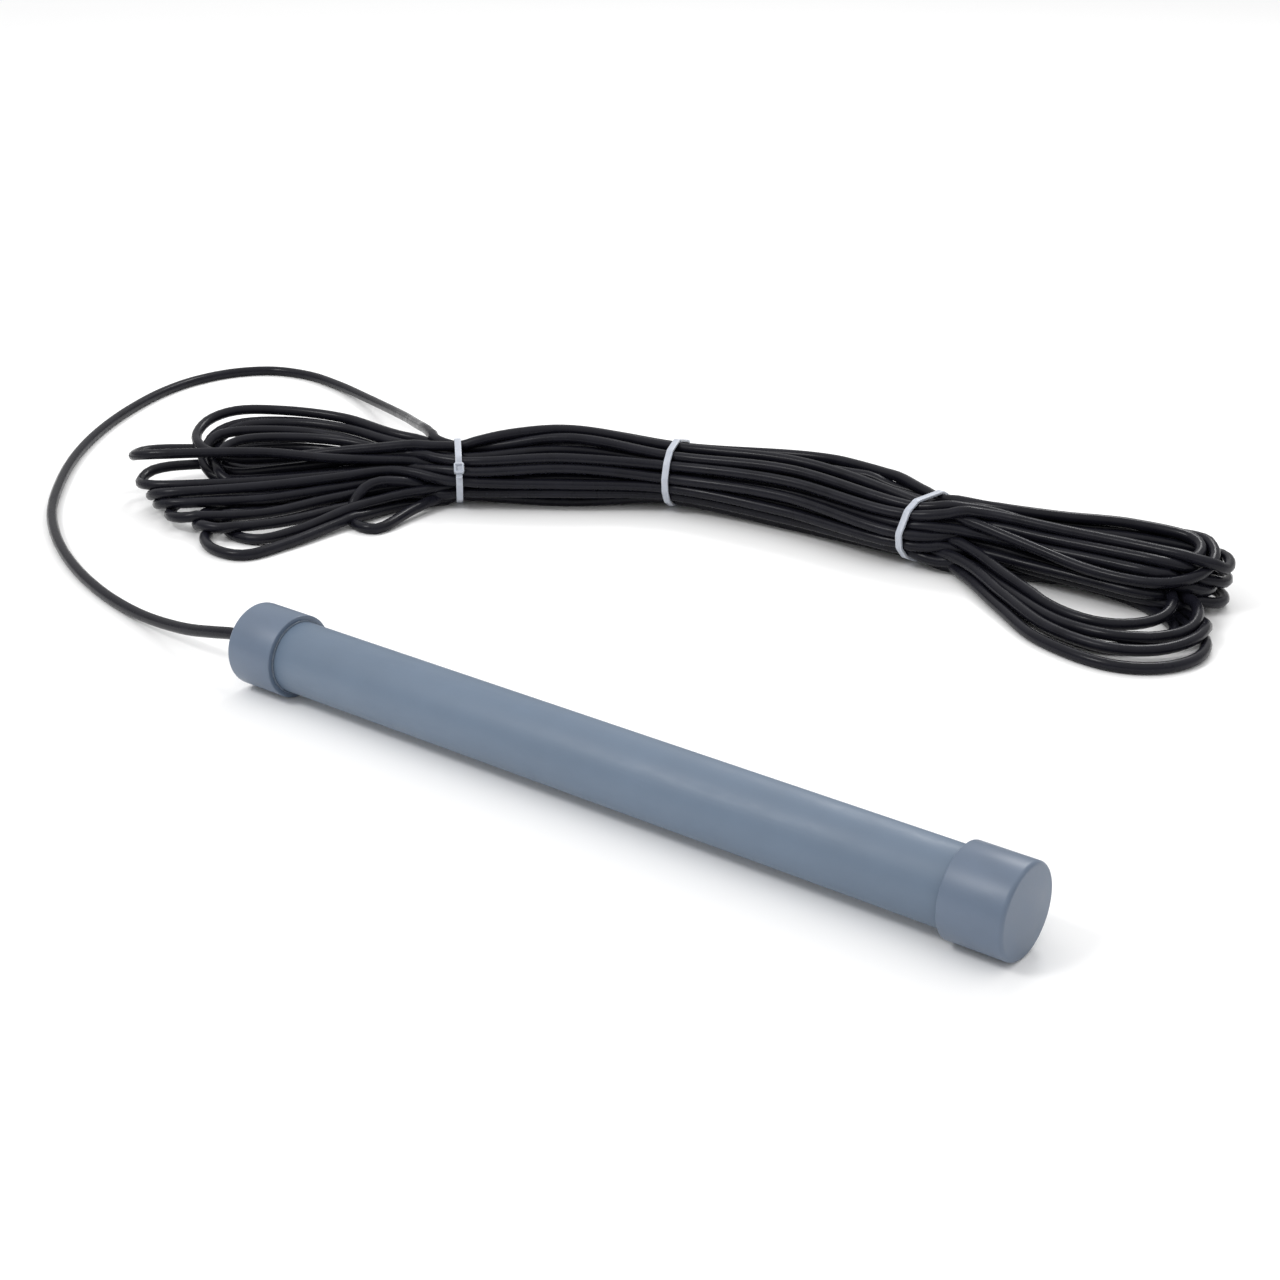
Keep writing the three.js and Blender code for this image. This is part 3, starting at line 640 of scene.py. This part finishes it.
def settle(points, spacing, rounds, held):
    """Lets the wound cable find its place: strands push apart, lie on each other and on the floor, and stay
    inside the ties, while every span is drawn back to its length. held marks the points that don't move."""
    start = points.copy()
    free = (~held).astype(float)[:, None]
    floor_height = CABLE_OD / 2
    apart = int(4 * CABLE_OD / spacing)
    count = len(points)
    rings = []
    for tie in TIES:
        offset = start - tie.centre
        beyond = np.abs(offset @ tie.along)
        near = np.nonzero((beyond < 12) & (np.abs(offset @ tie.back) < 40) & ~held)[0]
        flare = 0.5 * np.maximum(beyond[near] - 3, 0)
        rings.append((tie, near, flare))
    for step in range(rounds):
        progress = step / rounds
        if step % 12 == 0:
            i, j = near_pairs(points, CABLE_OD * 1.7, apart)
        points[:, 2] -= 0.012 * free[:, 0]
        points += (start - points) * (0.004 + 0.02 * (1 - progress)) * free
        for hop, amount in ((1, 0.5), (3, 0.4), (8, 0.3 * (1 - progress))):
            shift = points - start
            bent = shift[2 * hop:] + shift[:-2 * hop] - 2 * shift[hop:-hop]
            points[hop:-hop] += 0.5 * amount * bent * free[hop:-hop]
        gap = points[j] - points[i]
        distance = np.linalg.norm(gap, axis=1)
        overlap = np.clip(CABLE_OD * 1.01 - distance, 0, None)
        push = gap * (0.5 * overlap / np.maximum(distance, 1e-6))[:, None]
        touching = overlap > 0
        share = np.bincount(i[touching], minlength=count) + np.bincount(j[touching], minlength=count)
        moved = np.stack([np.bincount(j, push[:, axis], count) - np.bincount(i, push[:, axis], count)
                          for axis in range(3)], axis=1)
        points += moved * (1.8 / np.maximum(share, 1.8))[:, None] * free
        for _ in range(2):
            for first in (0, 1):
                a, b = points[first:-1:2], points[first + 1::2]
                wa, wb = free[first:-1:2], free[first + 1::2]
                step_vector = b - a
                size = np.linalg.norm(step_vector, axis=1, keepdims=True)
                fix = step_vector * (1 - spacing / np.maximum(size, 1e-6)) / np.maximum(wa + wb, 1)
                a += fix * wa
                b -= fix * wb
        points[:, 2] = np.where(held, points[:, 2], np.maximum(points[:, 2], floor_height))
        for tie, near, flare in rings:
            offset = points[near] - tie.centre
            wide = tie.half_width - CABLE_OD / 2 + flare
            high = tie.half_height - CABLE_OD / 2 + flare
            across = offset @ tie.back / wide
            up = offset[:, 2] / high
            excess = 1 / np.maximum(np.hypot(across, up), 1) - 1
            points[near] += np.outer(excess * across * wide, tie.back)
            points[near, 2] += excess * up * high
    return points


def settled_path(rounds):
    """The cable's middle line in millimetres, from the cap to its free end. Settling leaves it about 1%
    longer than CABLE_LENGTH."""
    guide = smooth_curve(cable_guide(GUIDE_SEED), GUIDE_STEP)
    along = np.concatenate([[0], np.cumsum(np.linalg.norm(np.diff(guide, axis=0), axis=1))])
    lead_end = length_of(np.array(LEAD_ROUTE)) - HELD_BEFORE_HANK
    tail_start = CABLE_LENGTH - length_of(np.array(PAST_RIGHT_TIE + FREE_END_ROUTE)) - 2
    count = int(CABLE_LENGTH / SPACING) + 1
    places = np.linspace(0, CABLE_LENGTH, count)
    # The held ends keep their own length, and the hank between them takes up the difference.
    on_guide = np.interp(
        places, [0, lead_end, tail_start, CABLE_LENGTH],
        [0, lead_end, along[-1] - CABLE_LENGTH + tail_start, along[-1]])
    points = np.stack([np.interp(on_guide, along, guide[:, axis]) for axis in range(3)], axis=1)
    held = (places < lead_end) | (places > tail_start)
    return settle(points, CABLE_LENGTH / (count - 1), rounds, held)


# ---- meshes ----


def finish_piece(name, bm, slot):
    """Turns the finished bmesh into a smooth-shaded piece in its slot's finish, riding on the body."""
    mesh = bpy.data.meshes.new(name)
    bmesh.ops.recalc_face_normals(bm, faces=bm.faces)
    bm.to_mesh(mesh)
    bm.free()
    mesh.polygons.foreach_set("use_smooth", [True] * len(mesh.polygons))
    mesh.set_sharp_from_angle(angle=math.radians(38))
    return place_piece(bpy.data.objects.new(name, mesh), slot)


def place_piece(piece, slot):
    bpy.context.scene.collection.objects.link(piece)
    piece.data.materials.clear()
    piece.data.materials.append(material_of(slot))
    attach(piece, BODY)
    return piece


def turn_profile(bm, profile, closed):
    """Spins a profile of (x, radius) points, in millimetres, once round the tube's axis."""
    verts = [bm.verts.new((x * MM, 0, (AXIS_HEIGHT + r) * MM)) for x, r in profile]
    edges = [bm.edges.new(pair) for pair in zip(verts, verts[1:])]
    if closed:
        edges.append(bm.edges.new((verts[-1], verts[0])))
    bmesh.ops.spin(
        bm, geom=verts + edges, cent=(0, 0, AXIS_HEIGHT * MM), axis=(1, 0, 0), dvec=(0, 0, 0),
        angle=math.tau, steps=LATHE_SIDES, use_merge=True, use_duplicate=False)
    bmesh.ops.remove_doubles(bm, verts=bm.verts, dist=0.00001)


def ring_edges(bm, x, radius):
    """The edges of the circle of this radius, in millimetres, at x on the tube's axis."""
    def on_ring(vert):
        off_axis = math.hypot(vert.co.y, vert.co.z - AXIS_HEIGHT * MM)
        return abs(vert.co.x - x * MM) < 0.00002 and abs(off_axis - radius * MM) < 0.00002
    return [e for e in bm.edges if all(on_ring(v) for v in e.verts)]


def round_ring(bm, x, radius, size, segments):
    bmesh.ops.bevel(
        bm, geom=ring_edges(bm, x, radius), offset=size * MM, segments=segments, profile=0.5,
        affect="EDGES", material=-1)


def build_tube():
    """The conduit, cut square and deburred, with both ends inside the caps."""
    outer, inner = PIPE_OD / 2, PIPE_OD / 2 - PIPE_WALL
    bm = bmesh.new()
    ends = (TUBE_LOW[0], TUBE_HIGH[0])
    turn_profile(bm, [(ends[0], inner), (ends[0], outer), (ends[1], outer), (ends[1], inner)], closed=True)
    for x in ends:
        round_ring(bm, x, outer, 0.4, 2)
        round_ring(bm, x, inner, 0.3, 2)
    piece = finish_piece("conduit_tube", bm, "conduit_grey")
    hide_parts("housing_tube")


def build_cap(name, node, face_x, mouth_x, hole_radius, edge):
    """A slip cap with a rounded face and a softened mouth, and a hole for the cable where it has one."""
    inward = 1 if mouth_x > face_x else -1
    outer = CAP_OD / 2
    socket = PIPE_OD / 2 + 0.3
    floor_x = face_x + inward * CAP_END_WALL
    bm = bmesh.new()
    profile = [(face_x, hole_radius), (face_x, outer), (mouth_x, outer), (mouth_x, socket),
               (floor_x, socket), (floor_x, hole_radius)]
    turn_profile(bm, profile, closed=hole_radius > 0)
    round_ring(bm, face_x, outer, edge, 6)
    round_ring(bm, mouth_x, outer, CAP_MOUTH_EDGE, 3)
    round_ring(bm, mouth_x, socket, 0.3, 2)
    if hole_radius > 0:
        round_ring(bm, face_x, hole_radius, 0.5, 3)
    piece = finish_piece(name, bm, "cap_grey")
    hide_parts(node)


def build_bead(name, mouth_x, outward, radius):
    """Cement squeezed out of the joint: an uneven ring in the corner between cap and tube."""
    ring_radius = PIPE_OD / 2 + 0.15
    bm = bmesh.new()
    profile = [(mouth_x + radius * math.cos(a), ring_radius + radius * math.sin(a))
               for a in (math.tau * i / 10 for i in range(10))]
    turn_profile(bm, profile, closed=True)
    for vert in bm.verts:
        off_axis = Vector((0, vert.co.y, vert.co.z - AXIS_HEIGHT * MM))
        around = math.atan2(off_axis.z, off_axis.y)
        uneven = 0.5 + 0.28 * math.sin(3 * around + 0.7) + 0.22 * math.sin(7 * around + 2.0)
        vert.co.x += outward * (uneven - 0.5) * 0.5 * radius * MM
        vert.co += off_axis.normalized() * (uneven - 0.5) * 0.3 * radius * MM
    # The bead takes the darker cement finish, which is painted shade at the cap's mouth.
    finish_piece(name, bm, "cap_grey").data.materials[0] = bpy.data.materials["solvent_cement_with_painted_shade"]


# ---- the cable ----


def tube_mesh(name, points, diameter):
    """A round tube along the points, in metres, with its ends closed."""
    curve = bpy.data.curves.new(name, "CURVE")
    curve.dimensions = "3D"
    curve.bevel_depth = diameter / 2
    curve.bevel_resolution = 3
    curve.use_fill_caps = True
    spline = curve.splines.new("POLY")
    spline.points.add(len(points) - 1)
    spline.points.foreach_set("co", np.column_stack([points, np.ones(len(points))]).ravel())
    carrier = bpy.data.objects.new(name, curve)
    bpy.context.scene.collection.objects.link(carrier)
    mesh = bpy.data.meshes.new_from_object(carrier.evaluated_get(bpy.context.evaluated_depsgraph_get()))
    bpy.data.objects.remove(carrier)
    bpy.data.curves.remove(curve)
    mesh.name = name
    bm = bmesh.new()
    bm.from_mesh(mesh)
    bmesh.ops.remove_doubles(bm, verts=bm.verts, dist=0.00001)
    bmesh.ops.recalc_face_normals(bm, faces=bm.faces)
    bm.to_mesh(mesh)
    bm.free()
    mesh.polygons.foreach_set("use_smooth", [True] * len(mesh.polygons))
    return mesh


def ring_strands(tie, path):
    """Where the strands cross a tie's plane, as (across, up) from the middle of its ring."""
    offset = path - tie.centre
    depth = offset @ tie.along
    crossings = []
    for i in np.nonzero(depth[:-1] * depth[1:] <= 0)[0]:
        share = depth[i] / (depth[i] - depth[i + 1] + 1e-9)
        at = offset[i] + (offset[i + 1] - offset[i]) * share
        across = at @ tie.back
        if abs(across) < tie.half_width + 4:
            crossings.append((across, at[2]))
    return np.array(crossings)


def hull_of(points):
    """The convex outline of flat points, anticlockwise."""
    ordered = sorted(map(tuple, points))

    def half(run):
        chain = []
        for p in run:
            while len(chain) > 1 and turn_of(chain[-2], chain[-1], p) <= 0:
                chain.pop()
            chain.append(p)
        return chain[:-1]

    return np.array(half(ordered) + half(ordered[::-1]))


def turn_of(a, b, c):
    return (b[0] - a[0]) * (c[1] - a[1]) - (b[1] - a[1]) * (c[0] - a[0])


def strap_line(tie, path, count=160):
    """The inside of a tie's strap, pulled tight round the strands that it holds."""
    reach = CABLE_OD / 2 + 0.05
    angles = np.linspace(0, math.tau, 32, endpoint=False)
    rim = np.column_stack([np.cos(angles), np.sin(angles)]) * reach
    outline = hull_of((ring_strands(tie, path)[:, None, :] + rim[None]).reshape(-1, 2))
    closed = np.vstack([outline, outline[:1]])
    flat = np.column_stack([closed, np.zeros(len(closed))])
    return even_points(flat, count + 1)[:-1, :2]


def build_tie(tie, path, sizes):
    """A tie: its strap, its head with the slot that the strap passes, and the cut end of the strap."""
    width, thickness = sizes.strap_width / MM, sizes.strap_thickness / MM
    line = strap_line(tie, path)
    bm = bmesh.new()
    verts = [bm.verts.new((x, y, -width / 2)) for x, y in line]
    edges = [bm.edges.new((a, b)) for a, b in zip(verts, verts[1:] + verts[:1])]
    far = bmesh.ops.extrude_edge_only(bm, edges=edges)["geom"]
    bmesh.ops.translate(bm, verts=[g for g in far if isinstance(g, bmesh.types.BMVert)], vec=(0, 0, width))
    bmesh.ops.recalc_face_normals(bm, faces=bm.faces)
    if any(f.normal.dot(Vector((*f.calc_center_median().xy, 0))) > 0 for f in bm.faces):
        bmesh.ops.reverse_faces(bm, faces=bm.faces)
    bmesh.ops.solidify(bm, geom=bm.faces, thickness=thickness)
    rims = [e for e in bm.edges
            if abs(abs(e.verts[0].co.z) - width / 2) < 0.01 and abs(e.verts[0].co.z - e.verts[1].co.z) < 0.01]
    bmesh.ops.bevel(bm, geom=rims, offset=0.3, segments=2, profile=0.5, affect="EDGES", material=-1)
    add_head(bm, tie, line, thickness)
    frame_of_tie = Matrix((
        (tie.back[0], 0, tie.along[0], tie.centre[0]),
        (tie.back[1], 0, tie.along[1], tie.centre[1]),
        (0, 1, 0, tie.centre[2]),
        (0, 0, 0, 1)))
    bmesh.ops.transform(bm, matrix=Matrix.Scale(MM, 4) @ frame_of_tie, verts=bm.verts)
    piece = finish_piece(f"cable_tie_{tie.name}", bm, "tie_nylon")
    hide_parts(f"hank_tie_{tie.name}")
    return piece


def add_head(bm, tie, line, thickness):
    """The square head on the strap, with its slot and the cut end of the strap beside it."""
    turn = tie.head_turn * math.pi
    way = np.array([math.cos(turn), math.sin(turn)])
    at = line[np.argmax(line @ way)]
    place = Matrix.Translation((at[0], at[1], 0)) @ Matrix.Rotation(turn, 4, "Z")
    middle = thickness * 0.4 + HEAD_OUT / 2
    head = block(bm, (HEAD_OUT, HEAD_ROUND, HEAD_ALONG), (middle, 0, 0), 0.7, place)
    top = max((f for f in head if f.is_valid), key=lambda f: f.calc_center_median().xy.dot(Vector(way)))
    bmesh.ops.inset_region(bm, faces=[top], thickness=0.9)
    bmesh.ops.translate(bm, verts=top.verts, vec=Vector((*(-way), 0)) * 1.2)
    block(bm, (1.1, 2.4, 2.6), (middle - 0.8, HEAD_ROUND / 2 + 0.9, 0), 0.25, place)


def block(bm, size, middle, edge, place):
    """A box with rounded edges, and the faces it is made of."""
    shape = place @ Matrix.Translation(middle) @ Matrix.Diagonal((*size, 1))
    verts = bmesh.ops.create_cube(bm, size=1, matrix=shape)["verts"]
    edges = list({e for v in verts for e in v.link_edges})
    made = bmesh.ops.bevel(
        bm, geom=edges, offset=edge, segments=3, profile=0.5, affect="EDGES", material=-1)
    faces = {f for v in made["verts"] for f in v.link_faces}
    return sorted(faces, key=lambda f: f.index)


# ---- operators ----


class SENSOR_OT_finishes(bpy.types.Operator):
    """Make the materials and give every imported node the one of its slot"""

    bl_idname = "vehicle_sensor.finishes"
    bl_label = "Finishes"

    def execute(self, context):
        finishes = slot_materials(context.scene.sensor_colours)
        # The cement finish is darker than the caps, as painted shade at their mouths.
        cement()
        context.scene["sensor_finishes"] = {slot: material.name for slot, material in finishes.items()}
        for name, slot in NODE_SLOTS.items():
            node = frame["nodes"][name]
            for i in range(len(node.material_slots)):
                node.material_slots[i].material = finishes[slot]
        return {"FINISHED"}


class SENSOR_OT_cable(bpy.types.Operator):
    """Lay the lead, wind the hank and pull the three ties tight round it"""

    bl_idname = "vehicle_sensor.cable"
    bl_label = "Cable and ties"

    def execute(self, context):
        sizes = context.scene.sensor_sizes
        path = settled_path(SETTLE_ROUNDS)
        ties = [build_tie(tie, path, sizes) for tie in TIES]
        line = even_points(path, CABLE_POINTS) * MM
        mesh = tube_mesh("burial_cable", line, sizes.cable_diameter)
        cable = place_piece(bpy.data.objects.new("burial_cable", mesh), "cable_jacket")
        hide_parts("cable_lead", "cable_hank", "cable_free_end")
        return {"FINISHED"}


class SENSOR_OT_tube(bpy.types.Operator):
    """Make the conduit tube"""

    bl_idname = "vehicle_sensor.tube"
    bl_label = "Conduit tube"

    def execute(self, context):
        build_tube()
        return {"FINISHED"}


class SENSOR_OT_caps(bpy.types.Operator):
    """Make both end caps and the cement at their mouths"""

    bl_idname = "vehicle_sensor.caps"
    bl_label = "End caps"

    def execute(self, context):
        sizes = context.scene.sensor_sizes
        edge, bead = sizes.cap_edge / MM, sizes.cement_bead / MM
        hole = sizes.cable_diameter / MM / 2 + 0.3
        build_cap("slip_cap_cable_end", "cable_end_cap", NEAR_CAP_LOW[0], NEAR_CAP_HIGH[0], hole, edge)
        build_cap("slip_cap_far_end", "far_end_cap", FAR_CAP_HIGH[0], FAR_CAP_LOW[0], 0, edge)
        build_bead("cement_bead_cable_end", NEAR_CAP_HIGH[0], 1, bead)
        build_bead("cement_bead_far_end", FAR_CAP_LOW[0], -1, bead)
        return {"FINISHED"}


class SENSOR_OT_stage(bpy.types.Operator):
    """Make the pale floor, the soft studio light and the camera"""

    bl_idname = "vehicle_sensor.stage"
    bl_label = "Stage"

    def execute(self, context):
        scene = context.scene
        bm = bmesh.new()
        bmesh.ops.create_grid(bm, x_segments=1, y_segments=1, size=scene.sensor_sizes.floor_size / 2)
        mesh = bpy.data.meshes.new("studio_floor")
        bm.to_mesh(mesh)
        bm.free()
        floor = bpy.data.objects.new("studio_floor", mesh)
        scene.collection.objects.link(floor)
        mesh.materials.append(floor_paper(tuple(scene.sensor_colours.floor)))
        for name, place, size, power in STUDIO_LIGHTS:
            add_softbox(name, place, size, power)
        add_surround(WALL_LIGHT, CEILING_LIGHT)
        add_camera()
        return {"FINISHED"}


AIM = Vector((-0.05, 0.1, 0.01))
WALL_LIGHT, CEILING_LIGHT = 0.4, 1.25  # strength of the room's light at the level of the table and overhead
# name, place, size in metres, power in watts
STUDIO_LIGHTS = (
    ("key_softbox", (-0.7, -1.0, 1.5), 0.5, 11),
    ("back_softbox", (-0.3, 1.3, 1.2), 0.5, 7),
)


def floor_paper(colour):
    """Matt background paper: almost white, with a tone that drifts a little."""
    material, tree, shader = new_material("matt_background_paper", Roughness=0.9)
    drift = patches(tree, 400, detail=2.0)
    feed(tree, shader, tint(tree, drift, shade(colour, 0.99), colour))
    return material


def add_softbox(name, place, size, power):
    light = bpy.data.lights.new(name, "AREA")
    light.shape = "DISK"
    light.size = size
    light.energy = power
    box = bpy.data.objects.new(name, light)
    box.location = place
    box.rotation_euler = (AIM - Vector(place)).to_track_quat("-Z", "Y").to_euler()
    bpy.context.scene.collection.objects.link(box)


def add_surround(walls, ceiling):
    """White light from all round, dimmer at the level of the table than overhead, as in a studio."""
    world = bpy.data.worlds.new("studio_surround")
    world.use_nodes = True
    tree = world.node_tree
    background = tree.nodes["Background"]
    background.inputs["Color"].default_value = (1, 1, 1, 1)
    place = add_node(tree, "ShaderNodeTexCoord")
    height = add_node(tree, "ShaderNodeSeparateXYZ", {}, {"Vector": place.outputs["Generated"]})
    rise = add_node(
        tree, "ShaderNodeMapRange", {"To Min": walls, "To Max": ceiling}, {"Value": height.outputs["Z"]})
    tree.links.new(rise.outputs["Result"], background.inputs["Strength"])
    bpy.context.scene.world = world


def add_camera():
    lens = bpy.data.cameras.new("camera")
    lens.lens = CAMERA_LENS
    lens.sensor_width = 36
    camera = bpy.data.objects.new("camera", lens)
    camera.location = CAMERA_PLACE
    camera.rotation_euler = (-CAMERA_BACK).to_track_quat("-Z", "Y").to_euler()
    bpy.context.scene.collection.objects.link(camera)
    bpy.context.scene.camera = camera
    bpy.context.scene.view_settings.view_transform = "Standard"


class SENSOR_PT_panel(bpy.types.Panel):
    bl_idname = "SENSOR_PT_panel"
    bl_label = "Magnetic vehicle sensor"
    bl_space_type = "VIEW_3D"
    bl_region_type = "UI"
    bl_category = "Vehicle sensor"

    def draw(self, context):
        layout = self.layout
        for group in (context.scene.sensor_sizes, context.scene.sensor_colours):
            column = layout.column(align=True)
            for name in group.__annotations__:
                column.prop(group, name)
        for step in STEPS:
            layout.operator(step.bl_idname)


STEPS = (SENSOR_OT_finishes, SENSOR_OT_stage, SENSOR_OT_cable, SENSOR_OT_tube, SENSOR_OT_caps)
CLASSES = (SensorSizes, SensorColours, *STEPS, SENSOR_PT_panel)


def register():
    for cls in CLASSES:
        bpy.utils.register_class(cls)
    bpy.types.Scene.sensor_sizes = bpy.props.PointerProperty(type=SensorSizes)
    bpy.types.Scene.sensor_colours = bpy.props.PointerProperty(type=SensorColours)


def unregister():
    del bpy.types.Scene.sensor_colours
    del bpy.types.Scene.sensor_sizes
    for cls in reversed(CLASSES):
        bpy.utils.unregister_class(cls)


def main():
    register()
    bpy.ops.vehicle_sensor.finishes()
    bpy.ops.vehicle_sensor.stage()
    bpy.ops.vehicle_sensor.cable()
    bpy.ops.vehicle_sensor.tube()
    bpy.ops.vehicle_sensor.caps()


if __name__ == "__main__":
    main()
